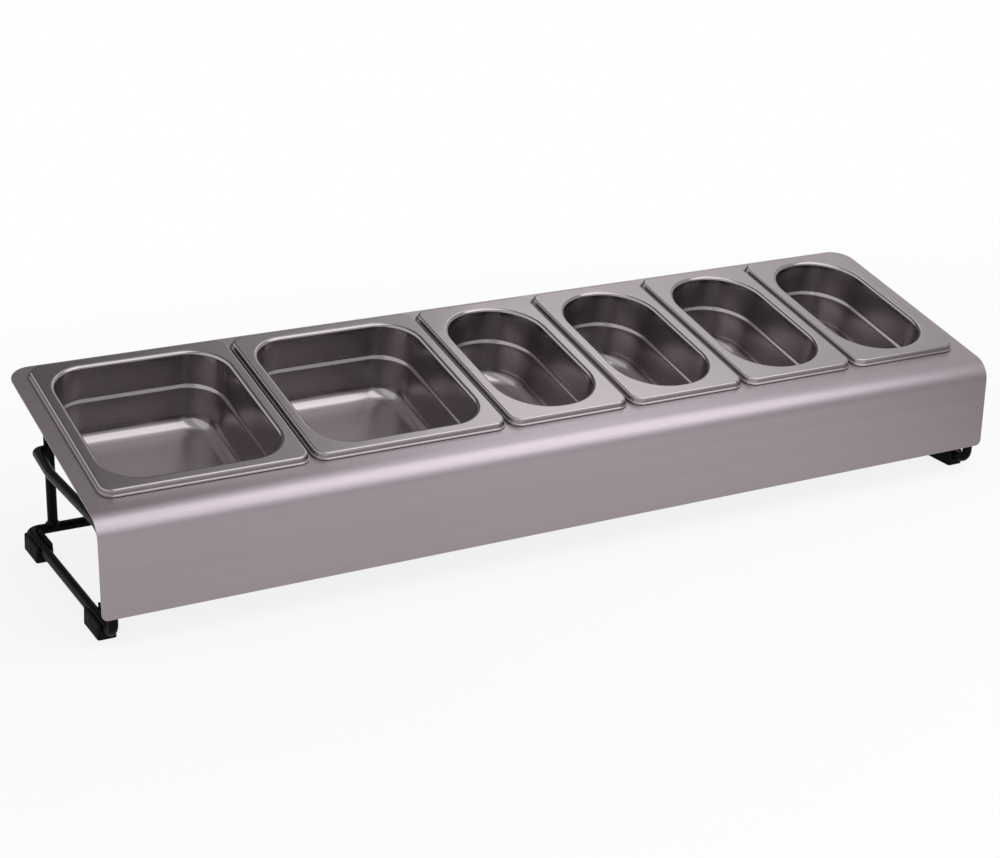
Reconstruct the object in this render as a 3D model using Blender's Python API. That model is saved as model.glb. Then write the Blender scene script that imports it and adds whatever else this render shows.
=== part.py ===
# Topping station: a bent sheet rack with a sloping top plate and an apron, six lift-out
# pans hanging in its cut-outs, and a round wire stand on four clipped rubber feet.
# X runs along the rack, Y from the apron to the rear, Z up. The origin is the middle of
# the footprint, on the floor. Lengths are metres.
import bmesh
import bpy
from math import atan2, ceil, cos, pi, radians, sin, sqrt, tan
from mathutils import Matrix, Vector

for old in list(bpy.data.objects):
    bpy.data.objects.remove(old, do_unlink=True)

# fits
gap = 0.0003              # air between pieces that touch
pan_play = 0.0015         # round a pan's wall in its cut-out
pan_spacing = 0.0015      # between the lips of neighbouring pans

# rack shell, one bent sheet; the corner line is where the planes of plate and apron meet
sheet = 0.0012
tilt = radians(12.6)          # slope of the top plate
fold_angle = radians(104.2)   # inside, between plate and apron
front_height = 0.0956         # corner line above the floor
front_margin = 0.0274         # along the slope, from the corner line to the pans' lips
rear_margin = 0.0073          # from the pans' lips to the plate's rear edge
end_margin = 0.01225          # and to its ends
apron_depth = 0.0723          # along the apron, from the corner line to the bottom edge
bend_radius = 0.0185          # outer
plate_corner = 0.018
apron_corner = 0.007

# pans, pressed sheet
pan_length = 0.176
sixth_width = 0.162
ninth_width = 0.108
pan_depth = 0.065             # flange top to the underside of the floor
pan_sheet = 0.0008
flange_height = 0.0055        # flange top above the plate
lip_corner = 0.011            # outline radius of the lip
lip_width = 0.0013            # small outward lip under the skirt
flange_inset = 0.0033         # lip edge to the flat of the flange
skirt_lean = 0.0005           # the skirt leans in from the lip
sixth_land = 0.0053           # flat of the flange along the sides
ninth_land = 0.006
sixth_end_land = 0.0057       # and across the ends
ninth_end_land = 0.0067
rim_roll = 0.003              # radius from the flat into the wall
sixth_corner = 0.030          # wall line of the opening
ninth_corner = 0.0395
shoulder_depth = 0.0275       # flange top to the stacking shoulder
shoulder_step = 0.002
shoulder_drop = 0.0045
upper_draft = radians(2.3)    # wall above the shoulder
wall_draft = radians(4)       # and below it
floor_radius = 0.012

# stand wire
wire = 0.004                  # radius
rail_inset = 0.0092           # plate's end to the floor rail's centre
rail_height = 0.0093
rear_overhang = 0.0076        # plate's rear edge beyond the rear crossbar's centre
arm_drop = 0.0098             # front of the arm below the corner line
elbow_drop = 0.0181           # where the arm starts to close in
elbow_inset = 0.0124
elbow_forward = 0.0533        # ahead of the rear crossbar
heel_drop = 0.0211            # upper rear corner
heel_inset = 0.0186
rail_corner = 0.008           # bend radii on the wire's centre line
toe_bend = 0.009
shoulder_bend = 0.028
elbow_bend = 0.060
heel_bend = 0.006

# rear posts, with a pad held under the plate by two studs
post_inset = 0.0284
weld_flare = 0.0017           # beyond the post's radius, where it stands on the crossbar
weld_height = 0.0035          # above the crossbar's top
pad_length = 0.032
pad_width = 0.012
pad_corner = 0.004
pad_sheet = 0.002
stud_radius = 0.002
stud_chamfer = 0.0004
stud_pitch = 0.021
stud_beyond = 0.001           # below its nut
nut_across = 0.007
nut_height = 0.0032

# strap that holds the wire's front leg on the apron
strap_sheet = 0.0015
strap_height = 0.014
strap_flange = 0.013
strap_drop = 0.0496           # its middle below the corner line

# rubber feet, clipped on the floor rails
foot_length = 0.032
front_setback = 0.0037        # from the wire's toe bend to the front foot
rear_setback = 0.0005         # from the rear foot to the rear corner bend
foot_half = 0.00715           # half width at the floor
foot_taper = 0.0005           # narrower at the top, each side
foot_round = 0.0012
foot_edge = 0.0008            # softened front and rear ends
outer_wall = 0.0034           # wall tops above the rail's centre
inner_wall = 0.0046
grip_height = 0.0015          # the walls follow the rail up to here
mouth_half = 0.0046

# cutters run this far past the faces that they cut
through = 0.004

# facets and shading
corner_steps = 6
fillet_steps = 3
fold_steps = 10
wire_step = radians(15)
post_sides = 24
stud_sides = 16
nut_points = 12
grip_steps = 12
smooth_below = radians(35)
square_ends = radians(80)


# Driven sizes
# each kind of pan has its width, the flat along its sides and ends, and its opening's corner
pan_kinds = {
    "sixth": (sixth_width, sixth_land, sixth_end_land, sixth_corner),
    "ninth": (ninth_width, ninth_land, ninth_end_land, ninth_corner),
}
pan_row = ["sixth"] * 2 + ["ninth"] * 4
pans_length = sum(pan_kinds[kind][0] for kind in pan_row) + pan_spacing * (len(pan_row) - 1)
pan_middle = front_margin + pan_length / 2
lip_top = gap + pan_sheet
half_length = pans_length / 2 + end_margin
plate_depth = front_margin + pan_length + rear_margin
apron_lean = fold_angle - tilt - pi / 2
# how far the apron's foot stands out in front of the corner line, and the plate's rear behind it
toe = apron_depth * sin(apron_lean)
rear = plate_depth * cos(tilt) + sheet * sin(tilt)
middle = (rear - toe) / 2
rail_rear = rear - rear_overhang


def arc(centre_x, centre_y, radius, start, stop, steps):
    turn = [start + (stop - start) * i / steps for i in range(steps + 1)]
    return [(centre_x + radius * cos(a), centre_y + radius * sin(a)) for a in turn]


def rounded_rectangle(width, length, radius):
    # the corners leave a short straight run on every side
    radius = min(radius, width / 2 - gap, length / 2 - gap)
    x, y = width / 2 - radius, length / 2 - radius
    outline = []
    for i, (u, v) in enumerate([(x, y), (-x, y), (-x, -y), (x, -y)]):
        outline += arc(u, v, radius, i * pi / 2, (i + 1) * pi / 2, corner_steps)
    return outline


def finish_mesh(name, mesh):
    bmesh.ops.recalc_face_normals(mesh, faces=mesh.faces)
    data = bpy.data.meshes.new(name)
    mesh.to_mesh(data)
    mesh.free()
    data.shade_smooth()
    data.set_sharp_from_angle(angle=smooth_below)
    return data


def loft(name, rings, closed_start=True, closed_end=True):
    # skins rings that have the same number of points
    mesh = bmesh.new()
    loops = [[mesh.verts.new(point) for point in ring] for ring in rings]
    for low, high in zip(loops, loops[1:]):
        for i in range(len(low)):
            j = (i + 1) % len(low)
            mesh.faces.new((low[i], low[j], high[j], high[i]))
    if closed_start:
        mesh.faces.new(loops[0][::-1])
    if closed_end:
        mesh.faces.new(loops[-1])
    return finish_mesh(name, mesh)


def bent_strip(name, outer, inner, place, start, stop):
    # a sheet seen on edge: outer and inner run side by side, swept from start to stop
    mesh = bmesh.new()
    outer_a, outer_b = ([mesh.verts.new(place(p, side)) for p in outer] for side in (start, stop))
    inner_a, inner_b = ([mesh.verts.new(place(p, side)) for p in inner] for side in (start, stop))
    for i in range(len(outer) - 1):
        for a, b in ((outer_a, outer_b), (inner_b, inner_a), (inner_a, outer_a), (outer_b, inner_b)):
            mesh.faces.new((a[i], a[i + 1], b[i + 1], b[i]))
    for i in (0, -1):
        mesh.faces.new((outer_a[i], inner_a[i], inner_b[i], outer_b[i]))
    return finish_mesh(name, mesh)


finishes = {
    "brushed": ((0.46, 0.43, 0.45), 1.0, 0.38),
    "pressed": ((0.58, 0.56, 0.57), 1.0, 0.26),
    "coated": ((0.012, 0.012, 0.013), 0.0, 0.34),
    "rubber": ((0.022, 0.022, 0.024), 0.0, 0.72),
    "zinc": ((0.55, 0.55, 0.56), 1.0, 0.40),
}


def add(name, data, finish, parent, location=(0, 0, 0), turn=0.0):
    colour, metallic, roughness = finishes[finish]
    material = bpy.data.materials.new(name + "_" + finish)
    material.use_nodes = True
    shader = material.node_tree.nodes["Principled BSDF"]
    shader.inputs["Base Color"].default_value = (*colour, 1)
    shader.inputs["Metallic"].default_value = metallic
    shader.inputs["Roughness"].default_value = roughness
    piece = bpy.data.objects.new(name, data)
    bpy.context.collection.objects.link(piece)
    piece.parent = parent
    piece.location = location
    piece.rotation_euler.z = turn
    if not data.materials:
        data.materials.append(material)
    piece.material_slots[0].link = "OBJECT"
    piece.material_slots[0].material = material
    return piece


def add_cutter(name, data, parent, location=(0, 0, 0)):
    cutter = bpy.data.objects.new(name, data)
    bpy.context.collection.objects.link(cutter)
    cutter.parent = parent
    cutter.location = location
    cutter.hide_render = True
    cutter.display_type = "WIRE"
    return cutter


def cut(piece, cutter):
    modifier = piece.modifiers.new(cutter.name, "BOOLEAN")
    modifier.operation = "DIFFERENCE"
    modifier.solver = "EXACT"
    modifier.object = cutter


def empty(name, location, tilt_x=0.0):
    holder = bpy.data.objects.new(name, None)
    bpy.context.collection.objects.link(holder)
    holder.location = location
    holder.rotation_euler.x = tilt_x
    return holder


# The plate's own frame has its origin on the line where plate and apron meet, Y up the slope
# and Z out of the plate. The stand's frame stands on the floor below that line.
plate_frame = empty("plate_frame", (0, -middle, front_height), tilt)
stand_frame = empty("stand_frame", (0, -middle, 0))


# Rack shell
def shell_lines():
    tangent = bend_radius / tan(fold_angle / 2)
    lines = []
    for offset in (0, sheet):
        bend = arc(tangent, -bend_radius, bend_radius - offset, pi / 2, 1.5 * pi - fold_angle, fold_steps)
        edge = (cos(fold_angle) * apron_depth, -sin(fold_angle) * apron_depth)
        inward = (sin(fold_angle) * offset, -cos(fold_angle) * offset)
        bottom = (edge[0] + inward[0], edge[1] - abs(inward[1]))
        lines.append([(plate_depth, -offset)] + bend + [bottom])
    return lines


def pan_places():
    x = -pans_length / 2
    for kind in pan_row:
        width = pan_kinds[kind][0]
        yield x + width / 2, kind
        x += width + pan_spacing


def wall_outline(kind, inset):
    # the pan's wall at its rim, drawn in by the inset
    width, land, end_land, corner = pan_kinds[kind]
    side = flange_inset + land + rim_roll + inset
    end = flange_inset + end_land + rim_roll + inset
    return rounded_rectangle(width - 2 * side, pan_length - 2 * end, corner - inset)


def cutout_solids():
    # one prism for each pan, as large as the pan's wall and its play
    mesh = bmesh.new()
    for x, kind in pan_places():
        outline = wall_outline(kind, -pan_sheet - pan_play)
        loops = []
        for z in (-sheet - through, through):
            loops.append([mesh.verts.new((x + u, pan_middle + v, z)) for u, v in outline])
        low, high = loops
        for i in range(len(low)):
            j = (i + 1) % len(low)
            mesh.faces.new((low[i], low[j], high[j], high[i]))
        mesh.faces.new(low[::-1])
        mesh.faces.new(high)
    return finish_mesh("pan_cutouts", mesh)


def corner_solid(mesh, place, radius, start, stop):
    # the waste outside one rounded corner, whose sharp point is the local origin
    beyond = radius / 2
    outline = [(beyond, beyond), (-radius, beyond)]
    outline += arc(-radius, -radius, radius, pi / 2, 0, corner_steps)
    outline += [(beyond, -radius)]
    low, high = ([mesh.verts.new(place(u, v, w)) for u, v in outline] for w in (start, stop))
    for i in range(len(low)):
        j = (i + 1) % len(low)
        mesh.faces.new((low[i], low[j], high[j], high[i]))
    mesh.faces.new(low[::-1])
    mesh.faces.new(high)


def shell_corners():
    down = Vector((0, cos(fold_angle), -sin(fold_angle)))
    out = Vector((0, -sin(fold_angle), -cos(fold_angle)))
    mesh = bmesh.new()
    for side in (-1, 1):
        corner_solid(mesh, lambda u, v, w: Vector((side * (half_length + u), plate_depth + v, w)),
                     plate_corner, -sheet - through, through)
        foot = Vector((side * half_length, 0, 0)) + down * apron_depth
        corner_solid(mesh, lambda u, v, w: foot + Vector((side * u, 0, 0)) + down * v + out * w,
                     apron_corner, -sheet - through, through)
    return finish_mesh("shell_corners", mesh)


outer, inner = shell_lines()
shell_mesh = bent_strip("rack_shell", outer, inner, lambda p, x: (x, p[0], p[1]), -half_length, half_length)
shell = add("rack_shell", shell_mesh, "brushed", plate_frame)
cut(shell, add_cutter("pan_cutouts", cutout_solids(), plate_frame))
cut(shell, add_cutter("shell_corners", shell_corners(), plate_frame))


# Pans
def pan_profile():
    # inset and height above the plate: the lip and skirt from the lip's edge, then the rim's roll
    # from the wall line of the opening
    crown = flange_inset - lip_width - skirt_lean
    lip = [(0, lip_top), (lip_width, lip_top)]
    for a in (0, pi / 4, pi / 2):
        lip.append((flange_inset - crown * cos(a), flange_height - crown * (1 - sin(a))))
    roll = []
    for a in (pi / 2, pi / 4, 0):
        roll.append((rim_roll * (cos(a) - 1), flange_height - rim_roll * (1 - sin(a))))
    return lip, roll


def pan_wall():
    # from the rim's roll down over the stacking shoulder, the lower wall and the floor's radius
    top = flange_height - shoulder_depth
    brink = (shoulder_depth - rim_roll) * tan(upper_draft)
    step = brink + shoulder_step
    ledge = top - shoulder_drop
    floor = flange_height - pan_depth + pan_sheet
    tangent = floor + floor_radius * (1 - sin(wall_draft))
    foot = step + (ledge - tangent) * tan(wall_draft)
    centre = foot + floor_radius * cos(wall_draft)
    curve = arc(-centre, floor + floor_radius, floor_radius, -wall_draft, -pi / 2, fillet_steps)
    return [(brink, top), (step, ledge)] + [(-u, v) for u, v in curve]


def pan_mesh(kind):
    width = pan_kinds[kind][0]
    lip, roll = pan_profile()
    rings = []
    for inset, z in lip:
        outline = rounded_rectangle(width - 2 * inset, pan_length - 2 * inset, lip_corner - inset)
        rings.append([(u, v, z) for u, v in outline])
    for inset, z in roll + pan_wall():
        rings.append([(u, v, z) for u, v in wall_outline(kind, inset)])
    return loft(f"pan_{kind}", rings, closed_start=False)


def add_pan(name, x, mesh):
    pan = add(name, mesh, "pressed", plate_frame, (x, pan_middle, 0))
    thickness = pan.modifiers.new("sheet", "SOLIDIFY")
    thickness.thickness = pan_sheet
    thickness.offset = -1
    thickness.use_even_offset = True


pan_meshes = {kind: pan_mesh(kind) for kind in pan_kinds}
pan_counts = dict.fromkeys(pan_kinds, 0)
for x, kind in pan_places():
    pan_counts[kind] += 1
    add_pan(f"pan_{kind}_{pan_counts[kind]}", x, pan_meshes[kind])


# Stand wire
def filleted(points, radii):
    # straight runs between the points, with an arc of its radius at each inner one
    path = [Vector(points[0])]
    for before, corner, after, radius in zip(points, points[1:], points[2:], radii):
        corner = Vector(corner)
        a = (Vector(before) - corner).normalized()
        b = (Vector(after) - corner).normalized()
        half = a.angle(b) / 2
        centre = corner + (a + b).normalized() * (radius / sin(half))
        start, stop = (corner + way * (radius / tan(half)) - centre for way in (a, b))
        turn = pi - 2 * half
        axis = start.cross(stop)
        steps = max(2, ceil(turn / wire_step))
        for i in range(steps + 1):
            path.append(centre + Matrix.Rotation(turn * i / steps, 3, axis) @ start)
    path.append(Vector(points[-1]))
    return path


def leg_place(height):
    # centre of the wire's front leg, which lies along the apron's inner face
    face = -tan(apron_lean) * (front_height - height)
    return face + (sheet + gap + wire) / cos(apron_lean)


def wire_half():
    # from the left rear post forward along the arm, down the leg and back along the floor rail
    rail = -half_length + rail_inset
    heel_height = front_height - heel_drop
    arm_height = front_height - arm_drop
    corners = [
        (-half_length + post_inset - wire - gap, rail_rear, heel_height),
        (-half_length + heel_inset, rail_rear, heel_height),
        (-half_length + elbow_inset, rail_rear - elbow_forward, front_height - elbow_drop),
        (rail, leg_place(arm_height), arm_height),
        (rail, leg_place(rail_height), rail_height),
        (rail, rail_rear, rail_height),
    ]
    return corners, [heel_bend, elbow_bend, shoulder_bend, toe_bend, rail_corner]


def add_wire():
    left, radii = wire_half()
    right = [(-x, y, z) for x, y, z in reversed(left)]
    path = filleted(left + right, radii + radii[::-1])
    curve = bpy.data.curves.new("stand_wire", "CURVE")
    curve.dimensions = "3D"
    curve.bevel_depth = wire
    curve.bevel_resolution = 4
    curve.use_fill_caps = True
    spline = curve.splines.new("POLY")
    spline.points.add(len(path) - 1)
    for point, place in zip(spline.points, path):
        point.co = (*place, 1)
    return add("stand_wire", curve, "coated", stand_frame)


add_wire()


# Rear posts
pad_under = sheet + gap + pad_sheet


def under_plate(back, depth):
    # height above the floor of a point at this depth under the plate's top face
    return front_height + (back * sin(tilt) - depth) / cos(tilt)


def circle(radius, height, sides=post_sides):
    turns = [2 * pi * i / sides for i in range(sides)]
    return [(radius * cos(a), radius * sin(a), height) for a in turns]


def post_mesh():
    # the weld's flare runs out in a hollow quarter curve above the crossbar
    crossbar_top = rail_height + wire
    rings = [circle(wire + weld_flare, rail_height + wire / 2)]
    for a in (0, pi / 6, pi / 3, pi / 2):
        flare = weld_flare * (1 - sin(a))
        rings.append(circle(wire + flare, crossbar_top + weld_height * (1 - cos(a))))
    top = [(x, y, under_plate(rail_rear + y, pad_under + gap)) for x, y, _ in circle(wire, 0)]
    return loft("rear_post", rings + [top])


def crossbar_room():
    ends = (-half_length, half_length)
    return loft("crossbar_room", [[(x, u, v) for u, v, _ in circle(wire + gap, 0)] for x in ends])


post_data = post_mesh()
post_cutter = add_cutter("crossbar_room", crossbar_room(), stand_frame, (0, rail_rear, rail_height))
for word, side in (("left", -1), ("right", 1)):
    spot = (side * (half_length - post_inset), rail_rear, 0)
    post = add(f"rear_post_{word}", post_data, "coated", stand_frame, spot)
    cut(post, post_cutter)


# Post pads, studs and nuts
def pad_mesh():
    outline = rounded_rectangle(pad_length, pad_width, pad_corner)
    rings = [[(u, v, z) for u, v in outline] for z in (-pad_sheet, 0)]
    return loft("post_pad", rings)


def stud_mesh():
    tip = -pad_sheet - gap - nut_height - stud_beyond
    rings = [circle(stud_radius - stud_chamfer, tip, stud_sides),
             circle(stud_radius, tip + stud_chamfer, stud_sides), circle(stud_radius, 0, stud_sides)]
    return loft("pad_stud", rings)


def nut_mesh():
    # a hexagon with a bore, whose outlines have two points for each side of the hexagon
    bore = [(u, v) for u, v, _ in circle(stud_radius + gap, 0, nut_points)]
    hexagon = []
    for i in range(nut_points):
        a = 2 * pi * i / nut_points
        reach = nut_across / 2 if i % 2 else nut_across / sqrt(3)
        hexagon.append((reach * cos(a), reach * sin(a)))
    mesh = bmesh.new()
    loops = []
    for line, z in ((bore, 0), (hexagon, 0), (hexagon, -nut_height), (bore, -nut_height)):
        loops.append([mesh.verts.new((u, v, z)) for u, v in line])
    for low, high in zip(loops, loops[1:] + loops[:1]):
        for i in range(len(low)):
            j = (i + 1) % len(low)
            mesh.faces.new((low[i], low[j], high[j], high[i]))
    return finish_mesh("pad_nut", mesh)


# along the slope, where the post's centre line passes through the pad
pad_back = (rail_rear - pad_under * sin(tilt)) / cos(tilt)
pad_data, stud_data, nut_data = pad_mesh(), stud_mesh(), nut_mesh()
stud_room = loft("stud_room", [circle(stud_radius + gap, z) for z in (-pad_sheet - through, through)])
for word, side in (("left", -1), ("right", 1)):
    x = side * (half_length - post_inset)
    pad = add(f"post_pad_{word}", pad_data, "coated", plate_frame, (x, pad_back, -sheet - gap))
    for number, shift in ((1, -stud_pitch / 2), (2, stud_pitch / 2)):
        spot = (x + shift, pad_back, -sheet - gap)
        cut(pad, add_cutter(f"stud_room_{word}_{number}", stud_room, plate_frame, spot))
        add(f"pad_stud_{word}_{number}", stud_data, "zinc", plate_frame, spot)
        add(f"pad_nut_{word}_{number}", nut_data, "zinc", plate_frame, (*spot[:2], -pad_under - gap))


# Leg straps
def strap_mesh(side):
    # a loop round the leg, closed on the apron at its outer side and with a flange at its inner side
    clear = wire + gap
    bend = clear + strap_sheet
    loop_in = [(clear, -wire)] + arc(0, 0, clear, 0, pi, grip_steps) + [(-clear, -wire)]
    loop_out = arc(0, 0, bend, 0, pi, grip_steps) + [(-bend, -wire)]
    inner_line = [(bend + strap_flange, -wire)] + loop_in
    outer_line = [(bend + strap_flange, -wire + strap_sheet), (bend, -wire + strap_sheet)] + loop_out
    return bent_strip("leg_strap", outer_line, inner_line, lambda p, z: (-side * p[0], p[1], z),
                      -strap_height / 2, strap_height / 2)


strap_level = front_height - strap_drop
for word, side in (("left", -1), ("right", 1)):
    spot = (side * (half_length - rail_inset), leg_place(strap_level), strap_level)
    strap = add(f"leg_strap_{word}", strap_mesh(side), "brushed", stand_frame, spot)
    strap.rotation_euler.x = -apron_lean


# Feet
def foot_outline():
    # seen from the front, round the rail's centre, with the outer side at -x
    sole = -rail_height
    half_top = foot_half - foot_taper
    grip = atan2(grip_height, sqrt((wire + gap) ** 2 - grip_height ** 2))
    outline = [(-half_top, outer_wall - foot_round / 2), (-half_top + foot_round / 2, outer_wall)]
    outline += [(-mouth_half, outer_wall)]
    outline += arc(0, 0, wire + gap, pi - grip, 2 * pi + grip, grip_steps)
    outline += [(mouth_half, inner_wall), (half_top - foot_round / 2, inner_wall)]
    outline += [(half_top, inner_wall - foot_round / 2)]
    outline += arc(foot_half - foot_round, sole + foot_round, foot_round, 0, -pi / 2, fillet_steps)
    outline += arc(-foot_half + foot_round, sole + foot_round, foot_round, -pi / 2, -pi, fillet_steps)
    return outline


def foot_mesh():
    rings = [[(u, y, v) for u, v in foot_outline()] for y in (-foot_length / 2, foot_length / 2)]
    return loft("foot", rings)


foot_data = foot_mesh()
foot_front = leg_place(rail_height) + toe_bend + front_setback + foot_length / 2
foot_rear = rail_rear - rail_corner - rear_setback - foot_length / 2
for word, side in (("left", -1), ("right", 1)):
    for place, back in (("front", foot_front), ("rear", foot_rear)):
        spot = (side * (half_length - rail_inset), back, rail_height)
        foot = add(f"foot_{place}_{word}", foot_data, "rubber", stand_frame, spot, 0 if side < 0 else pi)
        soften = foot.modifiers.new("ends", "BEVEL")
        soften.width = foot_edge
        soften.segments = 1
        soften.limit_method = "ANGLE"
        soften.angle_limit = square_ends
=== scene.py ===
# Topping station: a sloping brushed rack with an apron, six pressed pans and a black wire stand.
import bmesh
import bpy
from math import cos, pi, radians, sin, tan
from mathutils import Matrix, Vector


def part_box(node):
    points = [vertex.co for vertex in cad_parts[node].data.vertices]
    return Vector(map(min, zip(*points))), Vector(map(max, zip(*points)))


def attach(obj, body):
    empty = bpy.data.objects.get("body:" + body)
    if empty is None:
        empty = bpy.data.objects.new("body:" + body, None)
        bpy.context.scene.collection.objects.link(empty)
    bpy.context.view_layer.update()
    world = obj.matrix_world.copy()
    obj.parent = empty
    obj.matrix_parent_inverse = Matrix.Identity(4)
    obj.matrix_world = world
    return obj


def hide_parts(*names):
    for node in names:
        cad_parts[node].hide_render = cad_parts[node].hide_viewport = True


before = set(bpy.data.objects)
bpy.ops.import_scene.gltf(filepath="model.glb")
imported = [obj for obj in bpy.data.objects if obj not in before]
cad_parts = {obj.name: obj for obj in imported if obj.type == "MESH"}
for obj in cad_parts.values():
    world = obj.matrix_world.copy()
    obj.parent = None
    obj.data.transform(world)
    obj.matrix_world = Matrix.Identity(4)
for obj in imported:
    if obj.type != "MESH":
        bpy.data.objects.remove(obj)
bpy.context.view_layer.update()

print("frame loaded,", len(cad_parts), "nodes")

# the plate's own frame starts on the corner line, where the planes of plate and apron meet
rack = {
    "tilt": radians(12.6), "fold": radians(104.2), "cornerHeight": 0.0956,
    "apronDepth": 0.0723, "air": 0.0003,
}
near = 0.0001  # closer than this is the same place
shellLow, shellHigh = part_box("rack_shell")
halfLength = (shellHigh.x - shellLow.x) / 2
apronLean = rack["fold"] - rack["tilt"] - pi / 2
cornerBack = shellLow.y + rack["apronDepth"] * sin(apronLean)
cornerLine = Vector((0, cornerBack, rack["cornerHeight"]))
plateUp = Vector((0, -sin(rack["tilt"]), cos(rack["tilt"])))


# modelling by hand: start a shape, pick parts of it by place, and finish it
def deselectAll():
    if bpy.context.mode != "OBJECT":
        bpy.ops.object.mode_set(mode="OBJECT")
    bpy.ops.object.select_all(action="DESELECT")


def startPlane(width, length, place=(0, 0, 0)):
    deselectAll()
    bpy.ops.mesh.primitive_plane_add(size=1, enter_editmode=True)
    bpy.ops.transform.resize(value=(width, length, 1))
    bpy.ops.transform.translate(value=place)
    return bpy.context.object


def startRounded(width, length, radius, segments, place):
    obj = startPlane(width, length, place)
    bpy.ops.mesh.bevel(offset=radius, segments=segments, affect="VERTICES")
    bpy.ops.mesh.select_all(action="SELECT")
    return obj


def startBox(width, length, height, place):
    deselectAll()
    bpy.ops.mesh.primitive_cube_add(size=1, enter_editmode=True)
    bpy.ops.transform.resize(value=(width, length, height))
    bpy.ops.transform.translate(value=place)
    return bpy.context.object


def pick(kind, test):
    # test gets the middle of each vertex, edge or face, and the part itself
    bpy.ops.mesh.select_mode(type=kind)
    bpy.ops.mesh.select_all(action="DESELECT")
    mesh = bmesh.from_edit_mesh(bpy.context.object.data)
    for part in {"VERT": mesh.verts, "EDGE": mesh.edges, "FACE": mesh.faces}[kind]:
        points = [part.co] if kind == "VERT" else [v.co for v in part.verts]
        if test(sum(points, Vector()) / len(points), part):
            part.select_set(True)
    mesh.select_flush_mode()
    bmesh.update_edit_mesh(bpy.context.object.data)


def extrude(move):
    bpy.ops.mesh.extrude_region_move(TRANSFORM_OT_translate={"value": move})


def stepIn(inward, up):
    # carries the selected face one step in and up, leaving a band behind it
    if inward:
        bpy.ops.mesh.inset(thickness=inward, depth=up, use_even_offset=True)
    else:
        extrude((0, 0, up))


def turns(start, end, steps):
    # neighbouring angles of a turn, in pairs
    angles = [start + (end - start) * i / steps for i in range(steps + 1)]
    return zip(angles, angles[1:])


def activate(obj):
    deselectAll()
    obj.select_set(True)
    bpy.context.view_layer.objects.active = obj


def joinWith(obj, others):
    activate(obj)
    for other in others:
        other.select_set(True)
    bpy.ops.object.join()
    return obj


def modify(obj, kind, **settings):
    activate(obj)
    modifier = obj.modifiers.new(kind.lower(), kind)
    for key, value in settings.items():
        setattr(modifier, key, value)
    bpy.ops.object.modifier_apply(modifier=modifier.name)


def cutWith(obj, cutter):
    modify(obj, "BOOLEAN", operation="DIFFERENCE", solver="EXACT", object=cutter)
    bpy.data.objects.remove(cutter, do_unlink=True)


def breakEdges(obj, width, segments, angle):
    # rounds the edges that turn by more than the angle, in degrees
    modify(obj, "BEVEL", width=width, segments=segments, limit_method="ANGLE",
           angle_limit=radians(angle))


def turnNormals(facing):
    # all faces the same way round, with the widest one towards the given way
    bpy.ops.mesh.select_all(action="SELECT")
    bpy.ops.mesh.normals_make_consistent(inside=False)
    mesh = bmesh.from_edit_mesh(bpy.context.object.data)
    widest = max(mesh.faces, key=lambda face: face.calc_area())
    if widest.normal.dot(Vector(facing)) < 0:
        bpy.ops.mesh.flip_normals()


def layOnPlate(obj, back=0):
    # from the plate's frame into place: back along the plate, tilted, and up to the corner line
    activate(obj)
    bpy.ops.object.mode_set(mode="EDIT")
    bpy.ops.mesh.select_all(action="SELECT")
    bpy.ops.transform.translate(value=(0, back, 0))
    bpy.ops.transform.rotate(value=-rack["tilt"], orient_axis="X", center_override=(0, 0, 0))
    bpy.ops.transform.translate(value=cornerLine)
    bpy.ops.object.mode_set(mode="OBJECT")


def copyPiece(obj, move=(0, 0, 0), flip=False):
    # a copy with its own mesh, moved along, or mirrored to the other end of the rack
    activate(obj)
    bpy.ops.object.duplicate()
    bpy.ops.object.mode_set(mode="EDIT")
    bpy.ops.mesh.select_all(action="SELECT")
    bpy.ops.transform.translate(value=move)
    if flip:
        bpy.ops.transform.resize(value=(-1, 1, 1), center_override=(0, 0, 0))
        bpy.ops.mesh.flip_normals()
    bpy.ops.object.mode_set(mode="OBJECT")
    return bpy.context.object


def finishPiece(obj, name, body, material, nodes, smooth=35):
    activate(obj)
    obj.name = name
    obj.data.name = name
    obj.data.materials.clear()
    obj.data.materials.append(material)
    bpy.ops.object.shade_smooth_by_angle(angle=radians(smooth))
    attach(obj, body)
    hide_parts(*nodes)


# finishes, all from nodes on Object coordinates
def newMaterial(name, metallic=0.0, specular=0.5):
    material = bpy.data.materials.new(name)
    material.use_nodes = True
    nodes, links = material.node_tree.nodes, material.node_tree.links
    shader = nodes["Principled BSDF"]
    shader.inputs["Metallic"].default_value = metallic
    shader.inputs["Specular IOR Level"].default_value = specular
    return material, nodes, links, shader


def noiseOf(nodes, links, stretch, detail, roughness=0.6):
    # noise on Object coordinates, stretched differently along each axis
    place = nodes.new("ShaderNodeTexCoord")
    mapping = nodes.new("ShaderNodeMapping")
    mapping.inputs["Scale"].default_value = stretch
    noise = nodes.new("ShaderNodeTexNoise")
    noise.inputs["Scale"].default_value = 1.0
    noise.inputs["Detail"].default_value = detail
    noise.inputs["Roughness"].default_value = roughness
    links.new(place.outputs["Object"], mapping.inputs["Vector"])
    links.new(mapping.outputs["Vector"], noise.inputs["Vector"])
    return noise.outputs["Fac"]


def mapTo(nodes, links, value, low, high, fromLow=0.3, fromHigh=0.7):
    # the usual range is the one that noise really fills
    ranged = nodes.new("ShaderNodeMapRange")
    ranged.inputs["From Min"].default_value = fromLow
    ranged.inputs["From Max"].default_value = fromHigh
    ranged.inputs["To Min"].default_value = low
    ranged.inputs["To Max"].default_value = high
    links.new(value, ranged.inputs["Value"])
    return ranged.outputs["Result"]


def mathNode(nodes, operation, value=None):
    node = nodes.new("ShaderNodeMath")
    node.operation = operation
    if value is not None:
        node.inputs[1].default_value = value
    return node


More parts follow.
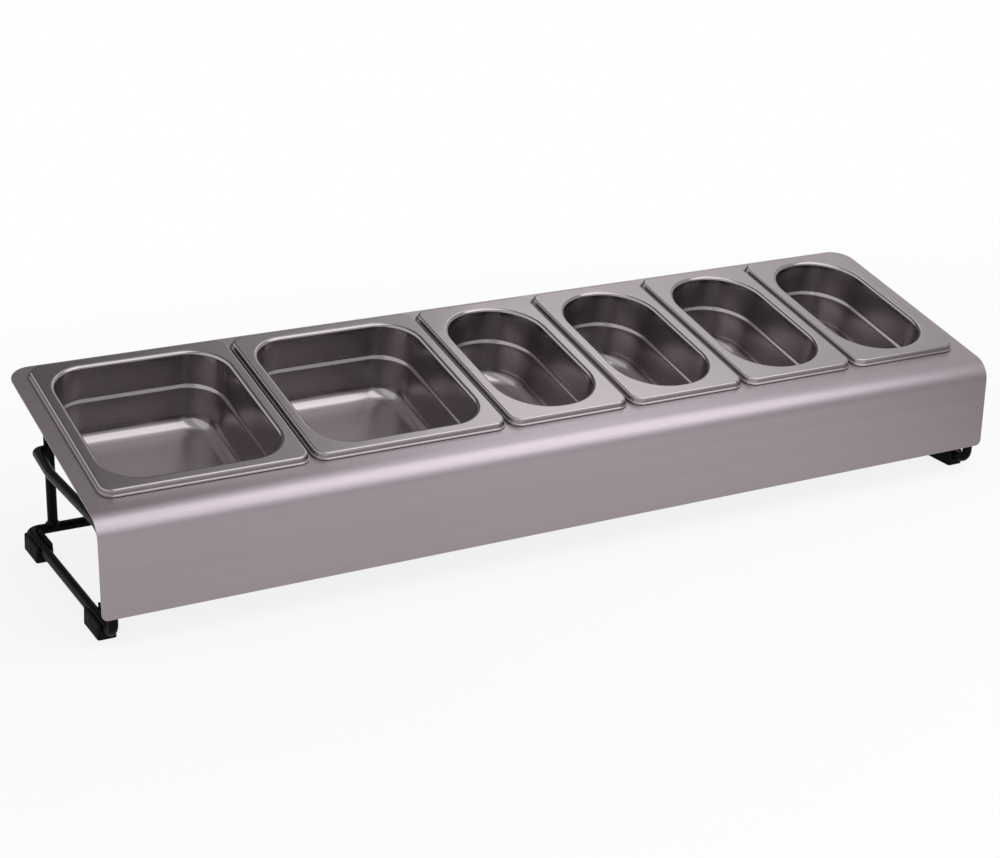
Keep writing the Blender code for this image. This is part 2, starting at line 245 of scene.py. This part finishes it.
def largest(nodes, links, *values):
    result = values[0]
    for value in values[1:]:
        node = mathNode(nodes, "MAXIMUM")
        links.new(result, node.inputs[0])
        links.new(value, node.inputs[1])
        result = node.outputs["Value"]
    return result


def product(nodes, links, one, other):
    node = mathNode(nodes, "MULTIPLY")
    links.new(one, node.inputs[0])
    links.new(other, node.inputs[1])
    return node.outputs["Value"]


def alongWay(nodes, links, vector, way):
    # how far a vector reaches along a fixed way
    node = nodes.new("ShaderNodeVectorMath")
    node.operation = "DOT_PRODUCT"
    node.inputs[1].default_value = way
    links.new(vector, node.inputs[0])
    return node.outputs["Value"]


# where in a noise the two colours of a look are reached
toneStops = {"dark": 0.25, "light": 0.75}


def colourFrom(nodes, links, value, look, shader):
    ramp = nodes.new("ShaderNodeValToRGB")
    for stop, (tone, at) in zip(ramp.color_ramp.elements, toneStops.items()):
        stop.color = (*look[tone], 1)
        stop.position = at
    links.new(value, ramp.inputs["Fac"])
    links.new(ramp.outputs["Color"], shader.inputs["Base Color"])


def bumpFrom(nodes, links, value, shader, strength, distance):
    bump = nodes.new("ShaderNodeBump")
    bump.inputs["Strength"].default_value = strength
    bump.inputs["Distance"].default_value = distance
    links.new(value, bump.inputs["Height"])
    links.new(bump.outputs["Normal"], shader.inputs["Normal"])


# sheet steel brushed along the rack: short fine lines, and a slow change of tone
# in each look, a noise has its stretch and detail, and a bump its strength and depth
sheetLook = {
    "dark": (0.378, 0.330, 0.360), "light": (0.400, 0.349, 0.380), "roughness": (0.28, 0.33),
    "lines": ((16, 1500, 1500), 3.0), "cloud": ((2.5, 110, 110), 5.0),
    "bump": (0.05, 0.0001), "stretched": 0.75,
}


def brushedSheet():
    material, nodes, links, shader = newMaterial("brushedSheet", metallic=1.0)
    shader.inputs["Anisotropic"].default_value = sheetLook["stretched"]
    across = nodes.new("ShaderNodeTangent")
    across.direction_type = "RADIAL"
    across.axis = "X"
    links.new(across.outputs["Tangent"], shader.inputs["Tangent"])
    lines = noiseOf(nodes, links, *sheetLook["lines"])
    cloud = noiseOf(nodes, links, *sheetLook["cloud"])
    colourFrom(nodes, links, cloud, sheetLook, shader)
    satin = mapTo(nodes, links, lines, *sheetLook["roughness"])
    links.new(satin, shader.inputs["Roughness"])
    bumpFrom(nodes, links, lines, shader, *sheetLook["bump"])
    return material


# pressed pans: satin walls and floor, smoother flange, smoothest rims, and slow waves
pressedLook = {
    "dark": (0.355, 0.322, 0.334), "light": (0.385, 0.349, 0.362), "roughness": (0.28, 0.30),
    "grain": ((200, 1800, 1800), 1.0), "cloud": ((9, 9, 9), 2.0), "waves": ((60, 60, 60), 0.0),
    "bump": (0.3, 0.0002), "flangeShare": 0.7, "flangeBlend": 0.001, "rimShare": 0.65,
    "flatFacing": (0.85, 0.99), "wallFacing": (0.1, 0.3),
}


def pressedSheet():
    look = pressedLook
    material, nodes, links, shader = newMaterial("pressedSheet", metallic=1.0)
    grain = noiseOf(nodes, links, *look["grain"])
    cloud = noiseOf(nodes, links, *look["cloud"])
    waves = noiseOf(nodes, links, *look["waves"])
    colourFrom(nodes, links, cloud, look, shader)
    # the flange stands above the plate
    level = cornerLine.dot(plateUp)
    spread = (level - look["flangeBlend"], level + look["flangeBlend"])
    place = nodes.new("ShaderNodeTexCoord").outputs["Object"]
    height = alongWay(nodes, links, place, plateUp)
    flange = mapTo(nodes, links, height, 1.0, look["flangeShare"], *spread)
    # the rims and the shoulder face neither up nor sideways
    normal = nodes.new("ShaderNodeNewGeometry").outputs["Normal"]
    facing = alongWay(nodes, links, normal, plateUp)
    onFlats = mapTo(nodes, links, facing, look["rimShare"], 1.0, *look["flatFacing"])
    onWalls = mapTo(nodes, links, facing, 1.0, look["rimShare"], *look["wallFacing"])
    share = product(nodes, links, flange, largest(nodes, links, onFlats, onWalls))
    satin = mapTo(nodes, links, grain, *look["roughness"])
    links.new(product(nodes, links, satin, share), shader.inputs["Roughness"])
    bumpFrom(nodes, links, waves, shader, *look["bump"])
    return material


# black powder coating on the wire and the posts, with its fine peel
coatingLook = {
    "dark": (0.002, 0.002, 0.0025), "light": (0.005, 0.005, 0.0055), "roughness": (0.28, 0.40),
    "grain": ((900, 900, 900), 2.0), "cloud": ((40, 40, 40), 3.0),
    "bump": (0.2, 0.0001), "metallic": 0.0, "specular": 0.08,
}
# matt rubber with a fine moulded grain
rubberLook = {
    "dark": (0.004, 0.004, 0.005), "light": (0.009, 0.009, 0.009), "roughness": (0.60, 0.80),
    "grain": ((1400, 1400, 1400), 3.0), "cloud": ((120, 120, 120), 3.0),
    "bump": (0.4, 0.0001), "metallic": 0.0, "specular": 0.12,
}
# zinc plating with its blotches
zincLook = {
    "dark": (0.45, 0.45, 0.46), "light": (0.62, 0.61, 0.60), "roughness": (0.30, 0.48),
    "grain": ((500, 500, 500), 4.0), "cloud": ((500, 500, 500), 4.0),
    "bump": (0.2, 0.0001), "metallic": 1.0, "specular": 0.5,
}


def mottledFinish(name, look):
    material, nodes, links, shader = newMaterial(name, look["metallic"], look["specular"])
    grain = noiseOf(nodes, links, *look["grain"])
    cloud = noiseOf(nodes, links, *look["cloud"])
    colourFrom(nodes, links, cloud, look, shader)
    links.new(mapTo(nodes, links, cloud, *look["roughness"]), shader.inputs["Roughness"])
    bumpFrom(nodes, links, grain, shader, *look["bump"])
    return material


sheetSteel = brushedSheet()
panSteel = pressedSheet()
coating = mottledFinish("blackCoating", coatingLook)
rubber = mottledFinish("footRubber", rubberLook)
zinc = mottledFinish("zincPlate", zincLook)
print("finishes made")

# pans: the pressed form from the lip inwards, and the two kinds
pan = {
    "row": ["sixth"] * 2 + ["ninth"] * 4, "spacing": 0.0015, "frontMargin": 0.0274,
    "length": 0.176, "depth": 0.065, "sheet": 0.0008,
    "lipTop": 0.0011, "lipWidth": 0.0013, "lipCorner": 0.011, "lipFillet": 0.0008,
    "skirtLean": 0.0005, "crown": 0.0015, "flangeHeight": 0.00547, "flatBand": 0.0004,
    "rimRoll": 0.003, "upperDraft": radians(2.3), "shoulderDepth": 0.0275,
    "shoulderStep": 0.002, "shoulderDrop": 0.0045, "draft": radians(4),
    "floorRadius": 0.012, "floorBand": 0.001,
    "edge": {"width": 0.00037, "segments": 2, "angle": 60},
    "steps": {
        "corner": 16, "fillet": 4, "crown": 5, "rim": 6, "wall": 3, "shoulder": 8, "floor": 8,
    },
}
panKinds = {
    "sixth": {"width": 0.162, "sideLand": 0.0053, "endLand": 0.0057, "corner": 0.030},
    "ninth": {"width": 0.108, "sideLand": 0.006, "endLand": 0.0067, "corner": 0.0395},
}


def panRow():
    # kind, name and middle of each pan, from the left end of the rack
    row = pan["row"]
    x = -(sum(panKinds[kind]["width"] for kind in row) + pan["spacing"] * (len(row) - 1)) / 2
    counts = {kind: 0 for kind in panKinds}
    for kind in row:
        counts[kind] += 1
        width = panKinds[kind]["width"]
        yield kind, f"{kind}_{counts[kind]}", x + width / 2
        x += width + pan["spacing"]


def wallLine(kind, larger):
    # width, length and corner of the opening at the wall, made larger all round
    size = panKinds[kind]
    edge = pan["lipWidth"] + pan["skirtLean"] + pan["crown"] + pan["rimRoll"] - larger
    width = size["width"] - 2 * (edge + size["sideLand"])
    length = pan["length"] - 2 * (edge + size["endLand"])
    return width, length, size["corner"] + larger


def wallSteps(drop, lean):
    # down by this much and leaning inwards, in a few even bands
    count = pan["steps"]["wall"]
    return [(drop * tan(lean) / count, -drop / count)] * count


def flangeSteps():
    # in and up from the lip's edge, through a fillet and the skirt, to the flat of the flange
    fillet, crown = pan["lipFillet"], pan["crown"]
    steps = [(pan["lipWidth"] - fillet, 0)]
    for a, b in turns(0, pi / 2, pan["steps"]["fillet"]):
        steps.append((fillet * (sin(b) - sin(a)), fillet * (cos(a) - cos(b))))
    steps.append((pan["skirtLean"], pan["flangeHeight"] - pan["lipTop"] - fillet - crown))
    for a, b in turns(0, pi / 2, pan["steps"]["crown"]):
        steps.append((crown * (cos(a) - cos(b)), crown * (sin(b) - sin(a))))
    return steps + [(pan["flatBand"], 0)]


def bowlSteps():
    # in and down from the inner edge of the flat, over the shoulder, to the floor
    rim, radius, draft = pan["rimRoll"], pan["floorRadius"], pan["draft"]
    steps = [(pan["flatBand"], 0)]
    for a, b in turns(0, pi / 2, pan["steps"]["rim"]):
        steps.append((rim * (sin(b) - sin(a)), rim * (cos(b) - cos(a))))
    steps += wallSteps(pan["shoulderDepth"] - rim, pan["upperDraft"])
    drop = pan["shoulderDrop"] / pan["steps"]["shoulder"]
    for a, b in turns(0, pi, pan["steps"]["shoulder"]):
        steps.append((pan["shoulderStep"] * (cos(a) - cos(b)) / 2, -drop))
    below = pan["depth"] - pan["sheet"] - pan["shoulderDepth"] - pan["shoulderDrop"]
    steps += wallSteps(below - radius * (1 - sin(draft)), draft)
    for a, b in turns(draft, pi / 2, pan["steps"]["floor"]):
        steps.append((radius * (cos(a) - cos(b)), radius * (sin(a) - sin(b))))
    return steps + [(pan["floorBand"], 0)]


def makePan(kind):
    # flange and bowl are each stepped inwards, then joined by a band on the flat
    width, corner, flat = panKinds[kind]["width"], pan["steps"]["corner"], pan["flangeHeight"]
    lip = (0, 0, pan["lipTop"])
    flange = startRounded(width, pan["length"], pan["lipCorner"], corner, lip)
    for inward, up in flangeSteps():
        stepIn(inward, up)
    bpy.ops.mesh.delete(type="ONLY_FACE")
    bowl = startRounded(*wallLine(kind, pan["rimRoll"]), corner, (0, 0, flat))
    for inward, up in bowlSteps():
        stepIn(inward, up)
    joinWith(flange, [bowl])
    bpy.ops.object.mode_set(mode="EDIT")
    pick("EDGE", lambda at, edge: edge.is_boundary and at.z > flat - near)
    bpy.ops.mesh.bridge_edge_loops()
    turnNormals((0, 0, 1))
    modify(flange, "SOLIDIFY", thickness=pan["sheet"], offset=-1, use_even_offset=True)
    breakEdges(flange, **pan["edge"])
    layOnPlate(flange, pan["frontMargin"] + pan["length"] / 2)
    return flange


def placePans():
    patterns = {kind: makePan(kind) for kind in panKinds}
    for kind, name, x in panRow():
        piece = copyPiece(patterns[kind], move=(x, 0, 0))
        finishPiece(piece, f"pressedPan_{name}", name, panSteel, [f"pan_{name}"])
    for pattern in patterns.values():
        bpy.data.objects.remove(pattern, do_unlink=True)


placePans()
print("pans made")

# rack shell: the plate, spun round the bend into the apron, then cut for the pans
shell = {
    "sheet": 0.0012, "plateDepth": 0.2107, "plateCorner": 0.018, "plateCornerSteps": 14,
    "bend": 0.0185, "bendSteps": 18, "strip": 0.001, "weld": 0.00001,
    "apronCorner": 0.005, "apronCornerSteps": 8, "panPlay": 0.0015, "cutReach": 0.005,
    "edge": {"width": 0.0002, "segments": 2, "angle": 40},
}


def panCutters():
    cutters = []
    for kind, name, x in panRow():
        opening = wallLine(kind, pan["sheet"] + shell["panPlay"])
        place = (x, pan["frontMargin"] + pan["length"] / 2, -shell["cutReach"])
        cutters.append(startRounded(*opening, pan["steps"]["corner"], place))
        extrude((0, 0, 2 * shell["cutReach"]))
        bpy.ops.mesh.select_all(action="SELECT")
        bpy.ops.mesh.normals_make_consistent(inside=False)
    return joinWith(cutters[0], cutters[1:])


def makeShell():
    fold, bend, strip = rack["fold"], shell["bend"], shell["strip"]
    tangent = bend / tan(fold / 2)
    down = Vector((0, cos(fold), -sin(fold)))
    depth = shell["plateDepth"] - tangent - strip
    piece = startPlane(2 * halfLength, depth, (0, tangent + strip + depth / 2, 0))
    pick("VERT", lambda at, vert: at.y > tangent + depth / 2)
    bpy.ops.mesh.bevel(offset=shell["plateCorner"], segments=shell["plateCornerSteps"],
                       affect="VERTICES")
    # narrow strips on both sides of the bend keep its shading off the flats
    pick("EDGE", lambda at, edge: at.y < tangent + strip + near)
    extrude((0, -strip, 0))
    bpy.ops.mesh.spin(steps=shell["bendSteps"], angle=fold - pi, center=(0, tangent, -bend),
                      axis=(1, 0, 0))
    extrude(down * strip)
    extrude(down * (rack["apronDepth"] - tangent - strip))
    bpy.ops.mesh.select_mode(type="VERT")
    bpy.ops.mesh.bevel(offset=shell["apronCorner"], segments=shell["apronCornerSteps"],
                       affect="VERTICES")
    bpy.ops.mesh.select_all(action="SELECT")
    bpy.ops.mesh.remove_doubles(threshold=shell["weld"])
    turnNormals((0, 0, 1))
    modify(piece, "SOLIDIFY", thickness=shell["sheet"], offset=-1, use_even_offset=True)
    cutWith(piece, panCutters())
    breakEdges(piece, **shell["edge"])
    layOnPlate(piece)
    finishPiece(piece, "brushedShell", "rack", sheetSteel, ["rack_shell"])
    modify(piece, "WEIGHTED_NORMAL", weight=100, keep_sharp=True)


makeShell()
print("shell made")

# stand wire: drawn from corner to corner, each corner rounded, then given its thickness
stand = {
    "wire": 0.004, "roundSteps": 8, "bendSteps": 14,
    "railInset": 0.0092, "railHeight": 0.0093, "rearOverhang": 0.0076,
    "armDrop": 0.0098, "elbowDrop": 0.0181, "elbowInset": 0.0124, "elbowForward": 0.0533,
    "heelDrop": 0.0211, "heelInset": 0.0186, "postInset": 0.0284,
    "bends": {"rail": 0.008, "toe": 0.009, "shoulder": 0.028, "elbow": 0.060, "heel": 0.006},
}
railBack = shellHigh.y - stand["rearOverhang"]


def legBack(height):
    # middle of the front leg at this height, which lies along the apron's inner face
    face = cornerBack - tan(apronLean) * (rack["cornerHeight"] - height)
    return face + (shell["sheet"] + rack["air"] + stand["wire"]) / cos(apronLean)


def wireCorners():
    # the left half: from the rear post forward, down, and back along the floor
    rail, railHeight = -halfLength + stand["railInset"], stand["railHeight"]
    armHeight = rack["cornerHeight"] - stand["armDrop"]
    heelHeight = rack["cornerHeight"] - stand["heelDrop"]
    elbowHeight = rack["cornerHeight"] - stand["elbowDrop"]
    elbow = (-halfLength + stand["elbowInset"], railBack - stand["elbowForward"], elbowHeight)
    return [
        ((-halfLength + stand["postInset"], railBack, heelHeight), None),
        ((-halfLength + stand["heelInset"], railBack, heelHeight), "heel"),
        (elbow, "elbow"),
        ((rail, legBack(armHeight), armHeight), "shoulder"),
        ((rail, legBack(railHeight), railHeight), "toe"),
        ((rail, railBack, railHeight), "rail"),
    ]


def makeWire():
    left = wireCorners()
    corners = left + [((-x, y, z), bend) for (x, y, z), bend in reversed(left)]
    points = [Vector(place) for place, bend in corners]
    piece = startPlane(1, 1)
    bpy.ops.mesh.merge(type="CENTER")
    bpy.ops.transform.translate(value=points[0])
    for a, b in zip(points, points[1:]):
        extrude(b - a)
    for i in range(1, len(points) - 1):
        before = (points[i - 1] - points[i]).normalized()
        after = (points[i + 1] - points[i]).normalized()
        reach = stand["bends"][corners[i][1]] / tan(before.angle(after) / 2)
        pick("VERT", lambda at, vert: (at - points[i]).length < near)
        bpy.ops.mesh.bevel(offset=reach, segments=stand["bendSteps"], affect="VERTICES")
    activate(piece)
    bpy.ops.object.convert(target="CURVE")
    curve = bpy.context.object.data
    curve.bevel_depth = stand["wire"]
    curve.bevel_resolution = stand["roundSteps"]
    curve.use_fill_caps = True
    bpy.ops.object.convert(target="MESH")
    finishPiece(bpy.context.object, "bentWire", "rack", coating, ["stand_wire"],
                smooth=40)


makeWire()
print("wire made")

# rear posts, with the weld's flare on the crossbar
post = {
    "sides": 32, "start": 0.0016, "flare": 0.0017, "flareHeight": 0.0035, "flareSteps": 6,
    "reach": 0.2, "underPlate": 0.0038,
}


def makePosts():
    wire = stand["wire"]
    radius = wire + post["flare"]
    deselectAll()
    bpy.ops.mesh.primitive_circle_add(vertices=post["sides"], radius=radius, fill_type="NGON",
                                      enter_editmode=True)
    bottom = (-halfLength + stand["postInset"], railBack, stand["railHeight"] + post["start"])
    bpy.ops.transform.translate(value=bottom)
    extrude((0, 0, wire - post["start"]))
    for a, b in turns(0, pi / 2, post["flareSteps"]):
        extrude((0, 0, post["flareHeight"] * (cos(a) - cos(b))))
        thinner = wire + post["flare"] * (1 - sin(b))
        bpy.ops.transform.resize(value=(thinner / radius, thinner / radius, 1))
        radius = thinner
    # up past the plate, then cut off below it and parallel to it
    extrude((0, 0, post["reach"]))
    bpy.ops.mesh.select_all(action="SELECT")
    bpy.ops.mesh.bisect(plane_co=cornerLine - plateUp * post["underPlate"], plane_no=plateUp,
                        clear_outer=True, use_fill=True)
    bpy.ops.mesh.select_all(action="SELECT")
    bpy.ops.mesh.normals_make_consistent(inside=False)
    bpy.ops.object.mode_set(mode="OBJECT")
    left = bpy.context.object
    right = copyPiece(left, flip=True)
    for piece, name, node in ((left, "postLeft", "rear_post_left"),
                              (right, "postRight", "rear_post_right")):
        finishPiece(piece, name, "rack", coating, [node], smooth=30)


makePosts()
print("posts made")

# rubber feet: a block gripping the rail from below, with a taller inner wall
foot = {
    "half": 0.00715, "taper": 0.0005, "corner": 0.0018, "cornerSteps": 5,
    "sole": 0.0006, "soleSteps": 3, "mouth": 0.0043, "mouthFloor": 0.0012,
    "outer": 0.0034, "gripSides": 40, "cutter": 0.02,
    "edge": {"width": 0.0003, "segments": 3, "angle": 50},
}


def makeFoot(node, name):
    low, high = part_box(node)
    side = -1 if low.x < 0 else 1
    x, y = ((low + high) / 2).xy
    length, half, size = high.y - low.y, foot["half"], foot["cutter"]
    block = startBox(2 * half, length, high.z, (x, y, high.z / 2))
    pick("FACE", lambda at, face: face.normal.z > 0.9)
    bpy.ops.transform.resize(value=((half - foot["taper"]) / half, 1, 1))
    pick("EDGE", lambda at, edge: abs(at.z - high.z / 2) < near)
    bpy.ops.mesh.bevel(offset=foot["corner"], segments=foot["cornerSteps"], affect="EDGES")
    pick("EDGE", lambda at, edge: at.z < near)
    bpy.ops.mesh.bevel(offset=foot["sole"], segments=foot["soleSteps"], affect="EDGES")
    # the rail's groove, its mouth above, and the lower outer wall
    base = stand["railHeight"]
    deselectAll()
    bpy.ops.mesh.primitive_cylinder_add(
        vertices=foot["gripSides"], radius=stand["wire"] + rack["air"], depth=2 * length,
        rotation=(pi / 2, 0, 0), location=(x, y, base))
    bpy.ops.object.transform_apply(location=True, rotation=True, scale=True)
    groove = bpy.context.object
    above = (x, y, base + foot["mouthFloor"] + size / 2)
    beside = (x + side * size / 2, y, base + foot["outer"] + size / 2)
    mouth = startBox(2 * foot["mouth"], 2 * length, size, above)
    outer = startBox(size, 2 * length, size, beside)
    for cutter in (groove, mouth, outer):
        cutWith(block, cutter)
    breakEdges(block, **foot["edge"])
    finishPiece(block, name, "rack", rubber, [node])


for place in ("front", "rear"):
    for end in ("left", "right"):
        makeFoot(f"foot_{place}_{end}", f"rubberFoot_{place}_{end}")
print("feet made")

# the small CAD pieces keep their shape and take the scene's finishes
carried = {"leg_strap": sheetSteel, "post_pad": coating, "pad_stud": zinc, "pad_nut": zinc}
for name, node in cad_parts.items():
    for start, material in carried.items():
        if name.startswith(start):
            for materialSlot in node.material_slots:
                materialSlot.material = material
print("small pieces finished")

# camera at the photograph's view
view = {
    "place": (-0.79256, -1.33966, 0.6682), "turn": (68.769, -1.094, -27.688),
    "lens": 74.18, "shift": (0.06, 0.0),
}
cameraData = bpy.data.cameras.new("photoView")
camera = bpy.data.objects.new("photoView", cameraData)
bpy.context.scene.collection.objects.link(camera)
camera.location = view["place"]
camera.rotation_euler = [radians(a) for a in view["turn"]]
cameraData.lens = view["lens"]
cameraData.shift_x, cameraData.shift_y = view["shift"]
bpy.context.scene.camera = camera

# pale floor, and white surroundings with a dark curtain behind the left end
# four values are two shares, and the two places where they are reached
studio = {
    "floorSize": 12, "floorDrop": 0.0002, "floor": (0.86, 0.86, 0.86),
    "floorSpecular": 0.1, "floorRoughness": 0.8, "squeeze": (0.5, 1, 1),
    "cameraShare": (0.85, 1.0, 0.3, 0.8), "glossyShare": (0.2, 0.9, 0.45, 1.2),
    # painted shade: the next two pairs darken the floor's glow as the metal sees it towards the
    # right, and let the metal see more of that glow there
    "floorPaintedShade": (1.0, 0.30, 0.0, 0.50), "paintedShadeShare": (0.0, 0.9, 0.0, 0.50),
    "shadeWay": (1, 0.6, 0), "light": 0.65, "lean": 0.45, "curtainLeft": (0.0, 1.0, -0.30, -0.42),
    "curtainFront": (0.0, 0.6, 0.25, 0.05), "towardsRight": (1.0, 0.6, 0.56, 0.68),
    "tones": [(0.60, 0.18), (0.615, 0.35), (0.66, 0.45), (0.70, 0.55), (0.74, 0.8), (0.785, 1.0)],
}


def mixOf(nodes, links, weight, one, other, output):
    # from one shader to the other as the weight grows
    mix = nodes.new("ShaderNodeMixShader")
    links.new(weight, mix.inputs["Fac"])
    links.new(one.outputs[0], mix.inputs[1])
    links.new(other.outputs[0], mix.inputs[2])
    links.new(mix.outputs["Shader"], nodes[output].inputs["Surface"])


def makeFloor():
    startPlane(studio["floorSize"], studio["floorSize"], (0, 0, -studio["floorDrop"]))
    bpy.ops.object.mode_set(mode="OBJECT")
    floor = bpy.context.object
    floor.name = "floor"
    material, nodes, links, shader = newMaterial("paleFloor", specular=studio["floorSpecular"])
    shader.inputs["Base Color"].default_value = (*studio["floor"], 1)
    shader.inputs["Roughness"].default_value = studio["floorRoughness"]
    place = nodes.new("ShaderNodeTexCoord").outputs["Object"]
    squeezed = nodes.new("ShaderNodeVectorMath")
    squeezed.operation = "MULTIPLY"
    squeezed.inputs[1].default_value = studio["squeeze"]
    distance = nodes.new("ShaderNodeVectorMath")
    distance.operation = "LENGTH"
    links.new(place, squeezed.inputs[0])
    links.new(squeezed.outputs["Vector"], distance.inputs[0])
    # the floor's own white is seen by the camera, and less of it shows in the metal
    away = distance.outputs["Value"]
    forCamera = mapTo(nodes, links, away, *studio["cameraShare"])
    forMetal = mapTo(nodes, links, away, *studio["glossyShare"])
    # painted shade: the floor's glow, as the metal mirrors it, darkens towards the right, where
    # the apron's right end looks
    ahead = alongWay(nodes, links, place, studio["shadeWay"])
    tone = mapTo(nodes, links, ahead, *studio["floorPaintedShade"])
    forMetal = largest(nodes, links, forMetal, mapTo(nodes, links, ahead, *studio["paintedShadeShare"]))
    path = nodes.new("ShaderNodeLightPath").outputs
    glow = nodes.new("ShaderNodeEmission")
    # the camera sees the glow at full white, while mirrored rays see it with the painted shade
    links.new(largest(nodes, links, path["Is Camera Ray"], tone), glow.inputs["Strength"])
    mirrored = largest(nodes, links, path["Is Glossy Ray"], path["Is Transmission Ray"])
    seen = product(nodes, links, path["Is Camera Ray"], forCamera)
    weight = largest(nodes, links, seen, product(nodes, links, mirrored, forMetal))
    mixOf(nodes, links, weight, shader, glow, "Material Output")
    floor.data.materials.append(material)


def makeWorld():
    world = bpy.data.worlds.new("studio")
    bpy.context.scene.world = world
    world.use_nodes = True
    nodes, links = world.node_tree.nodes, world.node_tree.links
    lit, seen = nodes["Background"], nodes.new("ShaderNodeBackground")
    for background in (lit, seen):
        background.inputs["Color"].default_value = (1, 1, 1, 1)
    lit.inputs["Strength"].default_value = studio["light"]
    # the curtain's edge leans, and it ends towards the left and the front
    split = nodes.new("ShaderNodeSeparateXYZ")
    links.new(nodes.new("ShaderNodeTexCoord").outputs["Generated"], split.inputs["Vector"])
    x, y, z = (split.outputs[axis] for axis in "XYZ")
    leaning = mathNode(nodes, "MULTIPLY_ADD", studio["lean"])
    links.new(z, leaning.inputs[0])
    links.new(x, leaning.inputs[2])
    ramp = nodes.new("ShaderNodeValToRGB")
    stops = ramp.color_ramp.elements
    for at, tone in studio["tones"][1:-1]:
        stops.new(at)
    for stop, (at, tone) in zip(stops, studio["tones"]):
        stop.position = at
        stop.color = (tone, tone, tone, 1)
    links.new(leaning.outputs["Value"], ramp.inputs["Fac"])
    atLeft = mapTo(nodes, links, x, *studio["curtainLeft"])
    atFront = mapTo(nodes, links, y, *studio["curtainFront"])
    atRight = mapTo(nodes, links, x, *studio["towardsRight"])
    curtain = largest(nodes, links, ramp.outputs["Color"], atLeft, atFront)
    toned = product(nodes, links, curtain, atRight)
    path = nodes.new("ShaderNodeLightPath").outputs
    links.new(largest(nodes, links, toned, path["Is Camera Ray"]), seen.inputs["Strength"])
    rays = [path[f"Is {kind} Ray"] for kind in ("Camera", "Glossy", "Transmission")]
    mixOf(nodes, links, largest(nodes, links, *rays), lit, seen, "World Output")


# each lamp: place, turn, size and power
lamps = {
    "bendLamp": ((0.50, -0.72, 1.28), (34, 0, 15), (1.5, 1.5), 9.3),
    "plateLamp": ((0.85, 0.865, 1.37), (-37, 0, -43), (0.50, 0.50), 0.5),
}


def makeLamps():
    for name, (place, turn, size, power) in lamps.items():
        data = bpy.data.lights.new(name, "AREA")
        data.shape = "RECTANGLE"
        data.size, data.size_y = size
        data.energy = power
        lamp = bpy.data.objects.new(name, data)
        bpy.context.scene.collection.objects.link(lamp)
        lamp.location = place
        lamp.rotation_euler = [radians(a) for a in turn]


makeFloor()
makeWorld()
makeLamps()
bpy.context.scene.view_settings.view_transform = "Standard"
print("studio set")
